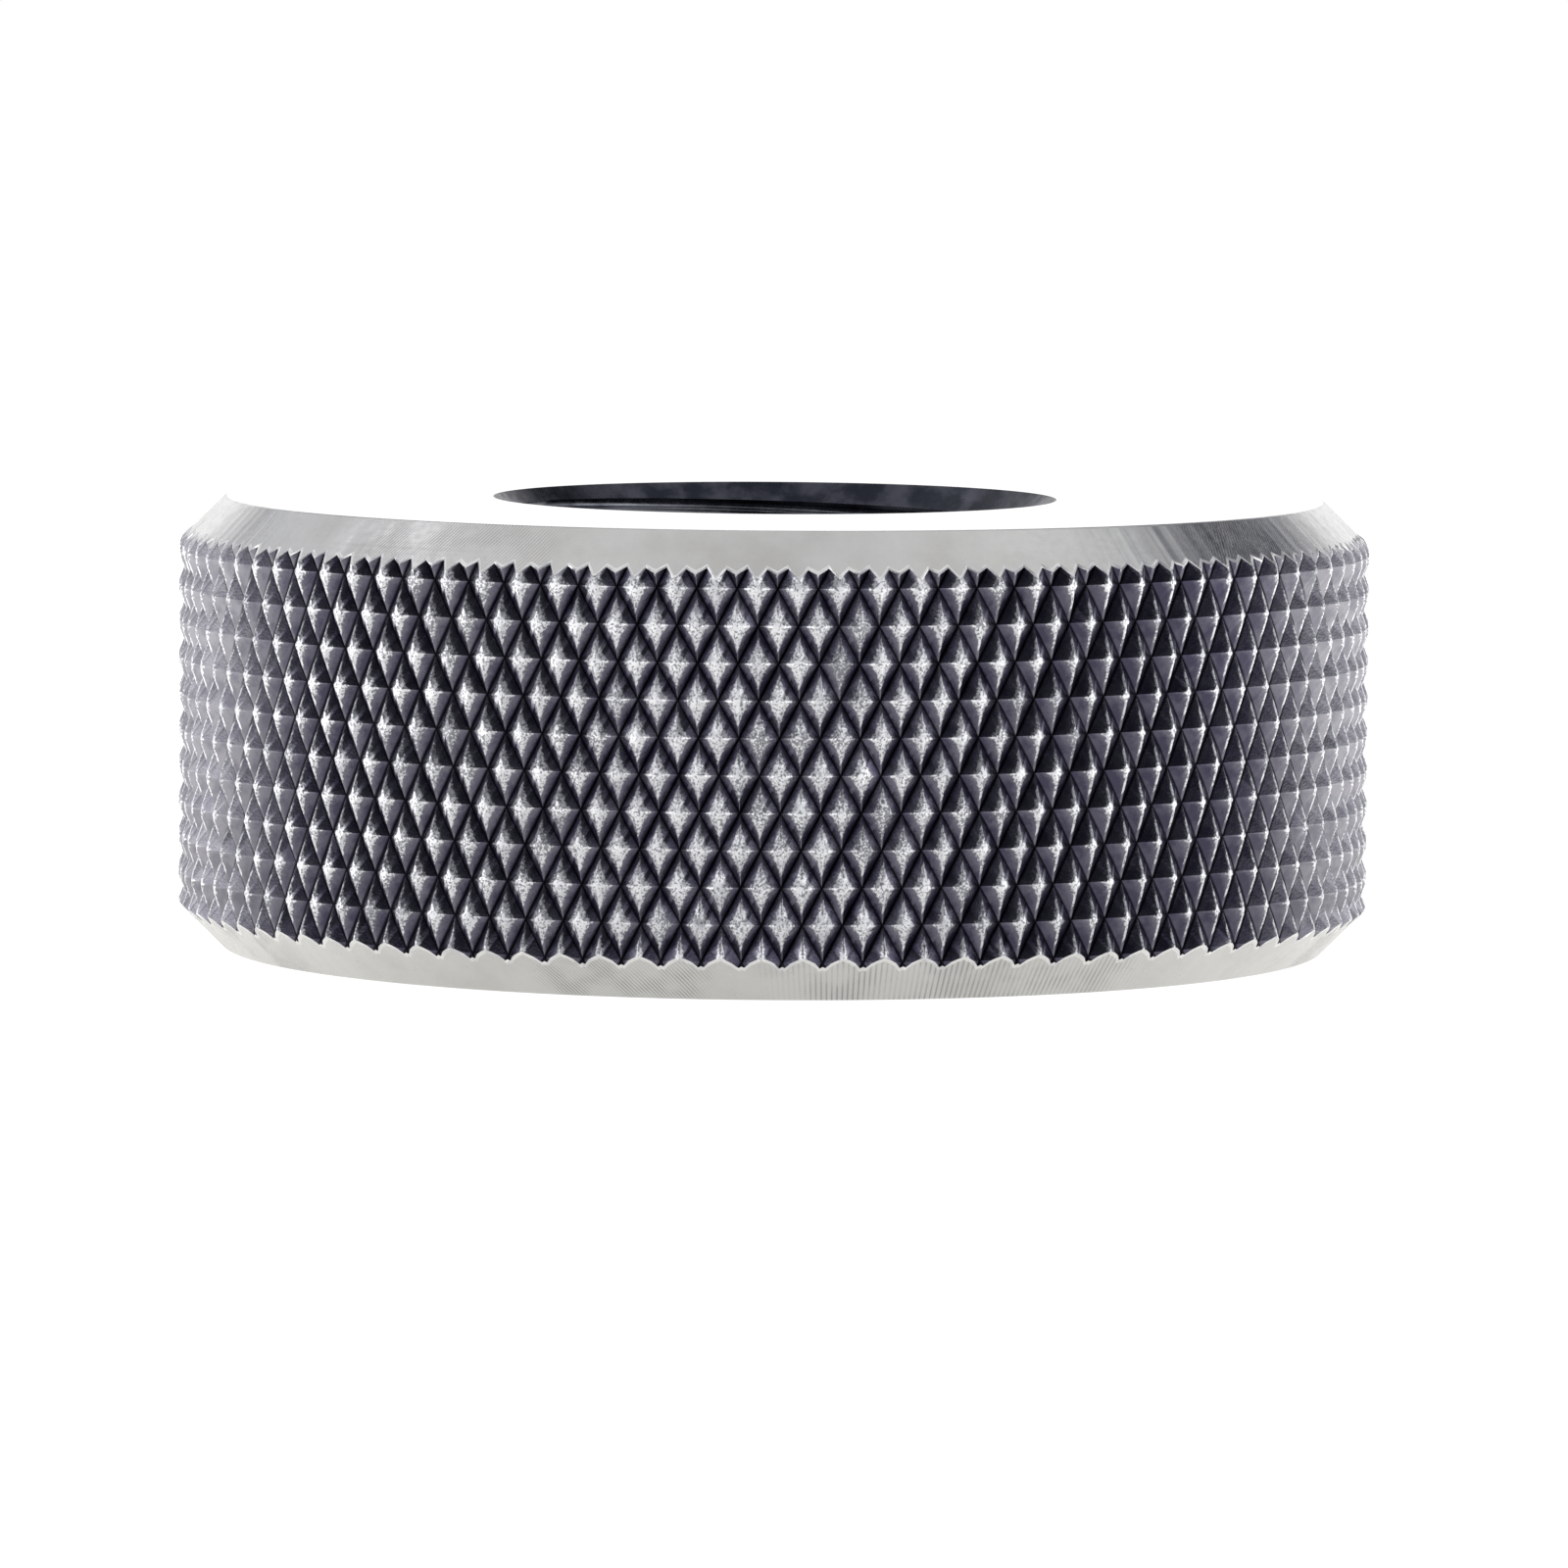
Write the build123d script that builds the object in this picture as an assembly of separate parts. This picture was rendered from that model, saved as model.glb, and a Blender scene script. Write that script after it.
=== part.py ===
"""Thread ring gauge for an M24 x 3 external thread, of the GO type.

One ring of hardened gauge steel: turned, knurled round the outside, threaded through the middle and
lapped flat on both faces. Sizes are in millimetres. The ring's axis is Z, and the origin is the centre of
the lower face, on which the gauge rests.
"""

from build123d import *
import os
from math import cos, pi, radians, sin, tan

# Ring
outer_diameter = 53.0  # over the crests of the knurl
thickness = 20.0  # between the two lapped faces
edge_chamfer = 2.0  # at 45 degrees, on both outer edges

# Thread, ISO metric coarse: the bore is as large as the crests of the thread leave it
thread_diameter = 24.0
thread_pitch = 3.0
mouth_diameter = 25.1  # of the countersink at each face
countersink_angle = 90.0  # included, in degrees

# Diamond knurl: two sets of V grooves that wind opposite ways and leave a tooth in each mesh
knurl_teeth = 95  # in one row round the ring
groove_angle = 29.5  # between a groove and the ring's axis, in degrees, to the nearest whole row
groove_depth = 0.5  # below the crests
crest_width = 0.55  # of the flat that each tooth keeps from the turned blank, round the ring

outer_radius = outer_diameter / 2
mid_height = thickness / 2
thread_height = thread_pitch * cos(radians(30))  # of the sharp 60 degree triangle
minor_radius = thread_diameter / 2 - 5 / 8 * thread_height
mouth_radius = mouth_diameter / 2
countersink_depth = (mouth_radius - minor_radius) / tan(radians(countersink_angle / 2))

# The grooves run out over the chamfers, and a whole number of rows fits between their ends
root_radius = outer_radius - groove_depth
lower_end = edge_chamfer - groove_depth
upper_end = thickness - lower_end
tooth_turn = 360 / knurl_teeth
tooth_width = pi * outer_diameter / knurl_teeth
last_row = round((upper_end - lower_end) * tan(radians(groove_angle)) / (tooth_width / 2))
row_height = (upper_end - lower_end) / last_row
crest_share = crest_width / tooth_width

# Corners of a tooth, counted round it as seen from outside
RIGHT, UPPER, LEFT, LOWER = range(4)
WHOLE_TOOTH = (RIGHT, UPPER, LEFT, LOWER, RIGHT)
UPPER_HALF = (RIGHT, UPPER, LEFT)
LOWER_HALF = (LEFT, LOWER, RIGHT)


def tooth_roots():
    """The four corners of a tooth facing +X at height 0, where the grooves beside it cross."""
    half_turn = radians(tooth_turn / 2)
    inward, across = root_radius * cos(half_turn), root_radius * sin(half_turn)
    return (
        Vector(inward, across, 0),
        Vector(root_radius, 0, row_height),
        Vector(inward, -across, 0),
        Vector(root_radius, 0, -row_height),
    )


def tooth_crests():
    """The corners of the tooth's flat, each on a ridge that climbs from a root towards one sharp point."""
    point = Vector(root_radius + groove_depth / (1 - crest_share), 0, 0)
    ridges = [root - point for root in tooth_roots()]
    return [point + ridge * ((outer_radius - point.X) / ridge.X) for ridge in ridges]


def tooth_faces(corners):
    """The flat and the flanks of a tooth between the given corners, in order."""
    roots, crests = tooth_roots(), tooth_crests()
    flat = Face(Wire.make_polygon([crests[corner] for corner in dict.fromkeys(corners)]))
    flanks = [
        Face(Wire.make_polygon([crests[start], roots[start], roots[end], crests[end]]))
        for start, end in zip(corners, corners[1:])
    ]
    return [flat, *flanks]


def row_turn(row):
    """How far round the ring a row starts: every other row sits half a tooth further on."""
    return tooth_turn / 2 * (row % 2)


def row_places(row):
    """Where the teeth of a row stand. The grooves of row 0 and of the last row cross on the chamfers."""
    height = lower_end + row * row_height
    turns = [row_turn(row) + tooth_turn * tooth for tooth in range(knurl_teeth)]
    return [Location((0, 0, height), (0, 0, turn)) for turn in turns]


def bar_end(row):
    """The flat end of the bar, cut through the middle of a row."""
    outline = [Pos(corner) for corner in (tooth_roots()[LEFT], tooth_crests()[LEFT], tooth_crests()[RIGHT])]
    corners = [(place * corner).position for place in row_places(row) for corner in outline]
    return Face(Wire.make_polygon(corners))


def knurled_bar():
    """A bar with the knurl all along it, which reaches past both faces of the ring."""
    rows_past = int(lower_end / row_height) + 1
    halves = {-rows_past: UPPER_HALF, last_row + rows_past: LOWER_HALF}
    faces = [bar_end(row) for row in halves]
    for row in range(-rows_past, last_row + rows_past + 1):
        tooth = tooth_faces(halves.get(row, WHOLE_TOOTH))
        faces += [face.moved(place) for place in row_places(row) for face in tooth]
    return Solid(Shell(faces))


def upper_chamfer(row):
    """A 45 degree cone with one flat to each tooth of a row, through the row's groove crossings."""
    half_turn = tooth_turn / 2
    base_radius = root_radius + upper_end / cos(radians(half_turn))
    flats = RegularPolygon(base_radius, knurl_teeth, rotation=row_turn(row) + half_turn)
    return extrude(flats, amount=thickness, taper=45)


def threaded_bore():
    """The bore at the thread's minor diameter, with its two countersunk mouths."""
    half_section = Polyline(
        (0, mid_height),
        (minor_radius, mid_height),
        (minor_radius, thickness - countersink_depth),
        (mouth_radius, thickness),
        (0, thickness),
        close=True,
    )
    upper = revolve(make_face(Plane.XZ * half_section), axis=Axis.Z)
    return upper + mirror(upper, about=Plane.XY.offset(mid_height))


gauge_ring = upper_chamfer(last_row) & knurled_bar()
gauge_ring = mirror(upper_chamfer(0), about=Plane.XY.offset(mid_height)) & gauge_ring
gauge_ring -= threaded_bore()

os.makedirs("parts", exist_ok=True)
export_step(gauge_ring, "parts/gauge_ring.step")
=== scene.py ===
"""Looks of a thread ring gauge: one ring of hardened steel with lapped faces, a diamond knurl and a coarse thread.

The ring is built as one closed mesh. Its outside and its bore both start as flat sheets in unrolled space,
where x is the way round the ring, y the height and z the distance from the axis. There a 45 degree cone is a
plane, so that cuts are plain bisections. The sheets are then rolled up and joined by the two lapped faces.
"""

import logging
import math
from dataclasses import dataclass
from enum import Enum

import bmesh
import bpy
from mathutils import Matrix, Vector, noise


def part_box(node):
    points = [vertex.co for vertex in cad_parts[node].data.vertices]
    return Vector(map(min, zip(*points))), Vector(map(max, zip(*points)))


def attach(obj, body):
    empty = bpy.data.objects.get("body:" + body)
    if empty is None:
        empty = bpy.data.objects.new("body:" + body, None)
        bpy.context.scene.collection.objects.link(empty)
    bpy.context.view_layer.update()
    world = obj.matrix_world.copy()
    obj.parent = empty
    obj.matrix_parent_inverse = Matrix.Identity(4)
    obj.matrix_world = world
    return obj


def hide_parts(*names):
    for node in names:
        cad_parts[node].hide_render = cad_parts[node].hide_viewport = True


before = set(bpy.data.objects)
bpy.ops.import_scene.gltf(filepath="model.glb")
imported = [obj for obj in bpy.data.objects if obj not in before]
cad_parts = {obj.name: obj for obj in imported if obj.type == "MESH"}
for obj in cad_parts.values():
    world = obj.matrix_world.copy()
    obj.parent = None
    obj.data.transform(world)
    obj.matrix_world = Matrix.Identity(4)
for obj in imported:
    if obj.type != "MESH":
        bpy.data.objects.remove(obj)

Socket = bpy.types.NodeSocket
Tree = bpy.types.NodeTree
Shape = bmesh.types.BMesh

LOG = logging.getLogger("ring_gauge")
MM = 0.001
CHAMFER_MM = 2.0  # of both outer edges
THREAD_RADIUS_MM = 12.0  # half the nominal diameter

# Settings that nodes share
SMOOTH = {"interpolation_type": "SMOOTHSTEP"}
COLOURS = {"data_type": "RGBA"}


class Finish(Enum):
    """The finishes of the ring, in the order of its material slots."""

    KNURL = 0
    CHAMFER = 1
    LAPPED = 2
    THREAD = 3
    COUNTERSINK = 4
    BURR = 5


def linear(hex_colour: str) -> tuple[float, float, float, float]:
    """Turns an sRGB hex colour into the linear colour that shaders use.

    Args:
        hex_colour: six hex digits after a hash sign.

    Returns:
        The linear red, green, blue and an alpha of 1.
    """
    shares = [int(hex_colour[i : i + 2], 16) / 255 for i in (1, 3, 5)]
    curve = [s / 12.92 if s <= 0.04045 else ((s + 0.055) / 1.055) ** 2.4 for s in shares]
    return (*curve, 1.0)


def add_node(
    tree: Tree, kind: str, *values: object, inputs: dict | None = None, **settings: object
) -> Socket | None:
    """Adds a shader node with its settings and its inputs.

    Args:
        tree: the node tree that the node goes into.
        kind: the node's type name, without the "ShaderNode" that it starts with.
        values: what goes into the first inputs that these settings use, an output socket to link or a plain value.
        inputs: what goes into other inputs, by name.
        settings: properties of the node by name.

    Returns:
        The first output that these settings use, if there is one.
    """
    node = tree.nodes.new("ShaderNode" + kind)
    for name, value in settings.items():
        setattr(node, name, value)
    filled = list(zip((socket for socket in node.inputs if socket.enabled), values))
    filled += [(node.inputs[name], value) for name, value in (inputs or {}).items()]
    for socket, value in filled:
        if isinstance(value, Socket):
            tree.links.new(value, socket)
        else:
            socket.default_value = value
    return next((socket for socket in node.outputs if socket.enabled), None)


def sized(size_mm: float, detail: float) -> tuple[float, float, float]:
    """Scale, detail and roughness that give a noise texture features of a size in millimetres."""
    return 1 / (size_mm * MM), detail, 0.55


def bare_material(name: str) -> bpy.types.Material:
    """A new material with an empty node tree."""
    material = bpy.data.materials.new(name)
    material.use_nodes = True
    material.node_tree.nodes.clear()
    return material


def to_object(name: str, shape: Shape) -> bpy.types.Object:
    """Turns a finished shape into an object of the scene, and frees the shape."""
    mesh = bpy.data.meshes.new(name)
    shape.to_mesh(mesh)
    shape.free()
    made = bpy.data.objects.new(name, mesh)
    bpy.context.scene.collection.objects.link(made)
    return made


@dataclass(frozen=True)
class Relief:
    """Fine uneven relief that repeats in one direction, such as turned rings."""

    spacing_mm: float
    height_mm: float


@dataclass(frozen=True)
class Chatter:
    """Patches of even marks that a tool left where it chattered, repeated round the ring.

    Turns are counted in degrees from the front, anticlockwise from above.
    """

    marks: int  # that would fit once round the ring
    lean: float  # radians by which a mark leans over for each metre of radius
    middle: float  # of a patch
    width: float  # of a patch
    upper: bool  # whether it is above the middle of the ring
    repeat: float = 90.0
    height_mm: float = 0.004
    stain: float = 0.55  # how much of the marked colour shows in a mark


@dataclass(frozen=True)
class GaugeSteel:
    """One finish of the hardened gauge steel: bare metal, dull patches, grain and tool marks.

    Every pattern is worked out from its size in millimetres on Object coordinates.
    """

    name: str
    bare: str  # colour of the clean metal
    dull: str  # colour where oil and handling have dulled it
    marked: str  # colour in the marks of a tool
    roughness: float
    dull_mm: float  # size of one dull patch
    dull_share: tuple[float, float]  # noise levels between which the dullness comes in
    grain_mm: float  # size of one grain or pit
    grain_height_mm: float
    rings: Relief | None = None  # concentric marks
    chatter: tuple[Chatter, ...] = ()
    chatter_ends: tuple[float, float] = (0.3, 0.55)  # shares of a patch's width between which its marks fade
    middle_mm: float = 10.0  # height of the middle of the ring

    def material(self) -> bpy.types.Material:
        """Builds the material.

        Returns:
            The finished node material.
        """
        material = bare_material(self.name)
        tree = material.node_tree
        place = add_node(tree, "TexCoord").node.outputs["Object"]
        wear = add_node(tree, "TexNoise", place, *sized(self.dull_mm, 5.0))
        dullness = add_node(tree, "MapRange", wear, *self.dull_share, 0.0, 1.0, **SMOOTH)
        colour = add_node(tree, "Mix", dullness, linear(self.bare), linear(self.dull), **COLOURS)
        marks = [self.chattered(tree, place, chatter) for chatter in self.chatter]
        for mark, chatter in zip(marks, self.chatter):
            stain = add_node(tree, "Math", mark, chatter.stain, operation="MULTIPLY")
            colour = add_node(tree, "Mix", stain, colour, linear(self.marked), **COLOURS)
        rough = add_node(tree, "TexNoise", place, *sized(self.grain_mm * 3, 3.0))
        reach = self.roughness * 0.8, self.roughness * 1.25
        roughness = add_node(tree, "MapRange", rough, 0.3, 0.7, *reach, **SMOOTH)
        colour, roughness = self.shaded_and_pitted(tree, place, colour, roughness)
        reliefs = self.reliefs(tree, place)
        reliefs += [(mark, chatter.height_mm) for mark, chatter in zip(marks, self.chatter)]
        bump = {"Strength": 1.0}
        for height, height_mm in reliefs:
            bump |= {"Height": height, "Distance": height_mm * MM}
            bump["Normal"] = normal = add_node(tree, "Bump", inputs=bump)
        surface = {"Base Color": colour, "Roughness": roughness, "Metallic": 1.0, "Normal": normal}
        shader = add_node(tree, "BsdfPrincipled", inputs=surface)
        add_node(tree, "OutputMaterial", shader)
        return material

    def shaded_and_pitted(self, tree: Tree, place: Socket, colour: Socket, roughness: Socket) -> tuple[Socket, Socket]:
        """Changes colour and roughness where a finish has painted shade and pits. Plain finishes return them as
        they are.

        Args:
            tree: the material's node tree.
            place: Object coordinates.
            colour: the colour so far.
            roughness: the roughness so far.

        Returns:
            The colour and the roughness to use.
        """
        return colour, roughness

    def reliefs(self, tree: Tree, place: Socket) -> list[tuple[Socket, float]]:
        """Lists the relief that bends the normal: the grain, and the turned rings where there are any.

        Args:
            tree: the material's node tree.
            place: Object coordinates.

        Returns:
            Patterns from 0 to 1 with their heights in millimetres.
        """
        reliefs = [(add_node(tree, "TexNoise", place, *sized(self.grain_mm, 3.0)), self.grain_height_mm)]
        if self.rings:
            radius, _, _ = self.round_axis(tree, place)
            scale = 1 / (self.rings.spacing_mm * MM)
            rings = add_node(tree, "TexNoise", radius, scale, 2.0, noise_dimensions="1D")
            reliefs.append((rings, self.rings.height_mm))
        return reliefs

    def chattered(self, tree: Tree, place: Socket, chatter: Chatter) -> Socket:
        """Works out where the marks of one kind of chatter are.

        Args:
            tree: the material's node tree.
            place: Object coordinates.
            chatter: the marks.

        Returns:
            A value that is 1 in the middle of a mark and 0 away from them.
        """
        radius, turn, height = self.round_axis(tree, place)
        leaning = add_node(tree, "Math", radius, chatter.lean, turn, operation="MULTIPLY_ADD")
        count = add_node(tree, "Math", leaning, float(chatter.marks), operation="MULTIPLY")
        wave = add_node(tree, "Math", count, operation="SINE")
        mark = add_node(tree, "MapRange", wave, 0.0, 1.0, 0.0, 1.0, **SMOOTH)
        off = add_node(tree, "Math", turn, math.radians(chatter.middle), operation="SUBTRACT")
        off = add_node(tree, "Math", off, math.radians(chatter.repeat / 2), operation="PINGPONG")
        ends = [math.radians(chatter.width * share) for share in self.chatter_ends]
        inside = add_node(tree, "MapRange", off, *ends, 1.0, 0.0, **SMOOTH)
        side = "GREATER_THAN" if chatter.upper else "LESS_THAN"
        on_side = add_node(tree, "Math", height, self.middle_mm * MM, operation=side)
        level = add_node(tree, "TexNoise", place, *sized(self.dull_mm / 2, 2.0))
        uneven = add_node(tree, "MapRange", level, 0.35, 0.6, 0.25, 1.0, **SMOOTH)
        for share in (inside, on_side, uneven):
            mark = add_node(tree, "Math", mark, share, operation="MULTIPLY")
        return mark

    @staticmethod
    def round_axis(tree: Tree, place: Socket) -> tuple[Socket, Socket, Socket]:
        """Turns a place into its position round the ring's axis.

        Args:
            tree: the material's node tree.
            place: Object coordinates.

        Returns:
            Its distance from the axis, its turn from the front in radians and its height.
        """
        x, y, z = add_node(tree, "SeparateXYZ", place).node.outputs
        flat = add_node(tree, "CombineXYZ", x, y)
        radius = add_node(tree, "VectorMath", flat, operation="LENGTH")
        ahead = add_node(tree, "Math", y, -1.0, operation="MULTIPLY")
        turn = add_node(tree, "Math", x, ahead, operation="ARCTAN2")
        return radius, turn, z


@dataclass(frozen=True)
class KnurledSteel(GaugeSteel):
    """The knurl's finish: bright star-shaped crests, bright ridges that are painted highlight, and blue-black
    painted shade on the flanks.

    The star follows the knurl's own UV map, which counts from 0 to 1 from groove to groove. Each pair of levels
    says between which values of a pattern its effect comes in, and each share how strong the effect gets.
    """

    pattern: str = "tooth"
    sharpness: str = "sharpness"  # attribute that is 1 where the teeth have seen little wear

    star: tuple[float, float] = (0.66, 0.86)  # reach of the crest's star round the ring and along it
    star_form: float = 0.68  # power that pulls the star's sides in
    shrink: float = 0.30  # by how much the star draws in where the teeth are sharp
    ridge_highlight: float = 0.07  # half width of the painted highlight along the upright ridges, a bare line in the painted shade
    ragged: float = 0.55  # how unevenly the painted flank shade ends
    ragged_mm: float = 0.12
    soft: float = 0.08  # how softly it ends

    pit_mm: float = 0.10
    pit_levels: tuple[float, float] = (0.50, 0.63)
    pit_share: float = 0.85
    scuff_mm: float = 3.5  # size of an area with more pits
    scuff_levels: tuple[float, float] = (0.52, 0.66)
    scuff_share: float = 0.12

    flank_shade: str = "#4c4a5c"  # colour of the painted flank shade where it is darkest
    thin_flank_shade: str = "#807f8b"  # and where it is lightest
    flank_roughness: float = 0.25
    deeper_shade_levels: tuple[float, float] = (0.95, 1.5)  # of the star's value
    deeper_shade_share: float = 0.7
    patch_mm: float = 0.9  # size of a patch where the painted flank shade is darker
    patch_levels: tuple[float, float] = (0.35, 0.65)
    patch_share: float = 0.4
    side_sheen: str = "#99989f"  # colour of a painted sheen at the two sides of the ring, where the painted flank shade is lightest
    sides_mm: tuple[float, float] = (9.5, 18.0)  # from the ring's middle plane, between which the painted sheen gives way to the painted flank shade

    groove_reach: tuple[float, float] = (0.16, 0.195)  # of the painted flank shade along the deeper grooves
    groove_shade: str = "#16171d"  # colour of the painted shade at the bottom of the grooves
    groove_shade_share: float = 0.95
    groove_shade_reach: tuple[float, float] = (0.01, 0.06)  # from the middle of a groove, as shares of a tooth
    groove_shade_spare: tuple[float, float] = (1.3, 0.01)  # factor and start that narrow it in the shallower grooves

    def shaded_and_pitted(self, tree: Tree, place: Socket, colour: Socket, roughness: Socket) -> tuple[Socket, Socket]:
        """Puts painted shade on the flanks, darker painted shade in the grooves and pits in the crests.

        Args:
            tree: the material's node tree.
            place: Object coordinates.
            colour: the colour of the bare metal.
            roughness: the roughness of the bare metal.

        Returns:
            The colour and the roughness with painted shade on the flanks and in the grooves, and pits.
        """
        on_tooth = add_node(tree, "UVMap", uv_map=self.pattern)
        u, v, _ = add_node(tree, "SeparateXYZ", on_tooth).node.outputs
        star = self.starred(tree, place, u, v)
        # Painted shade covers the flanks outside the star and along the deeper grooves.
        flank_shade = add_node(tree, "MapRange", star, 1.0 - self.soft, 1.0 + self.soft, 0.0, 1.0, **SMOOTH)
        gap = add_node(tree, "Math", v, 0.5, operation="PINGPONG")
        in_groove = add_node(tree, "MapRange", gap, *self.groove_reach, 1.0, 0.0, **SMOOTH)
        flank_shade = add_node(tree, "Math", flank_shade, in_groove, operation="MAXIMUM")
        crest, shade_colour = self.pitted(tree, place, colour), self.shaded_flanks(tree, place, star)
        tooth = add_node(tree, "Mix", flank_shade, crest, shade_colour, **COLOURS)
        # Darker painted shade along the bottom of the grooves.
        other_gap = add_node(tree, "Math", u, 0.5, operation="PINGPONG")
        other_gap = add_node(tree, "Math", other_gap, *self.groove_shade_spare, operation="MULTIPLY_ADD")
        nearest = add_node(tree, "Math", gap, other_gap, operation="MINIMUM")
        groove_shade_levels = *self.groove_shade_reach, self.groove_shade_share, 0.0
        groove_shade = add_node(tree, "MapRange", nearest, *groove_shade_levels, **SMOOTH)
        shaded_and_pitted = add_node(tree, "Mix", groove_shade, tooth, linear(self.groove_shade), **COLOURS)
        levels = self.flank_roughness - self.roughness, self.roughness
        return shaded_and_pitted, add_node(tree, "Math", flank_shade, *levels, operation="MULTIPLY_ADD")

    def starred(self, tree: Tree, place: Socket, u: Socket, v: Socket) -> Socket:
        """Works out where on a tooth the bare star ends.

        Args:
            tree: the material's node tree.
            place: Object coordinates.
            u: the way across the shallower grooves, from 0 to 1.
            v: the same across the deeper ones.

        Returns:
            A value that is below 1 in the star and on the upright ridges, and above 1 past them.
        """
        across = add_node(tree, "Math", u, v, operation="SUBTRACT")
        along = add_node(tree, "Math", u, v, operation="ADD")
        along = add_node(tree, "Math", along, 1.0, operation="SUBTRACT")
        ways = [add_node(tree, "Math", way, operation="ABSOLUTE") for way in (across, along)]
        shares = []
        for way, reach in zip(ways, self.star):
            share = add_node(tree, "Math", way, reach, operation="DIVIDE")
            shares.append(add_node(tree, "Math", share, self.star_form, operation="POWER"))
        star = add_node(tree, "Math", *shares, operation="ADD")
        sharp = add_node(tree, "Attribute", attribute_name=self.sharpness).node.outputs["Fac"]
        star = add_node(tree, "Math", sharp, self.shrink, star, operation="MULTIPLY_ADD")
        # A painted highlight along the upright ridges, left clear of the painted shade.
        ridge_highlight = add_node(tree, "Math", ways[0], self.ridge_highlight, operation="DIVIDE")
        star = add_node(tree, "Math", star, ridge_highlight, operation="MINIMUM")
        level = add_node(tree, "TexNoise", place, *sized(self.ragged_mm, 4.0))
        torn = self.ragged, -self.ragged / 2
        level = add_node(tree, "Math", level, *torn, operation="MULTIPLY_ADD")
        return add_node(tree, "Math", star, level, operation="ADD")

    def pitted(self, tree: Tree, place: Socket, colour: Socket) -> Socket:
        """Pits the bare metal of the crests, more so in scuffed areas.

        Args:
            tree: the material's node tree.
            place: Object coordinates.
            colour: the colour of the bare metal.

        Returns:
            The colour of the crests.
        """
        scuffs = add_node(tree, "TexNoise", place, *sized(self.scuff_mm, 2.0))
        scuffs = add_node(tree, "MapRange", scuffs, *self.scuff_levels, 0.0, self.scuff_share, **SMOOTH)
        level = add_node(tree, "TexNoise", place, *sized(self.pit_mm, 2.0))
        level = add_node(tree, "Math", level, scuffs, operation="ADD")
        pits = add_node(tree, "MapRange", level, *self.pit_levels, 0.0, self.pit_share, **SMOOTH)
        return add_node(tree, "Mix", pits, colour, linear(self.marked), **COLOURS)

    def shaded_flanks(self, tree: Tree, place: Socket, star: Socket) -> Socket:
        """Colours the painted shade on the flanks: darker away from the star and in patches, lightened by a painted
        sheen at the sides of the ring.

        Args:
            tree: the material's node tree.
            place: Object coordinates.
            star: the value that grows from the middle of the star outwards.

        Returns:
            The colour of the painted flank shade.
        """
        # The painted shade gets darker away from the star.
        deeper_shade = add_node(tree, "MapRange", star, *self.deeper_shade_levels, 0.0, self.deeper_shade_share, **SMOOTH)
        level = add_node(tree, "TexNoise", place, *sized(self.patch_mm, 3.0))
        patches = add_node(tree, "MapRange", level, *self.patch_levels, 0.0, self.patch_share, **SMOOTH)
        share = add_node(tree, "Math", deeper_shade, patches, operation="ADD")
        shade_colour = add_node(tree, "Mix", share, linear(self.thin_flank_shade), linear(self.flank_shade), **COLOURS)
        # A painted sheen at the two sides of the ring lightens the painted shade there.
        _, depth, _ = add_node(tree, "SeparateXYZ", place).node.outputs
        depth = add_node(tree, "Math", depth, operation="ABSOLUTE")
        sides = [way * MM for way in self.sides_mm]
        side = add_node(tree, "MapRange", depth, *sides, 1.0, 0.0, **SMOOTH)
        bare_share = add_node(tree, "Math", 1.0, patches, operation="SUBTRACT")
        side = add_node(tree, "Math", side, bare_share, operation="MULTIPLY")
        return add_node(tree, "Mix", side, shade_colour, linear(self.side_sheen), **COLOURS)


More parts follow.
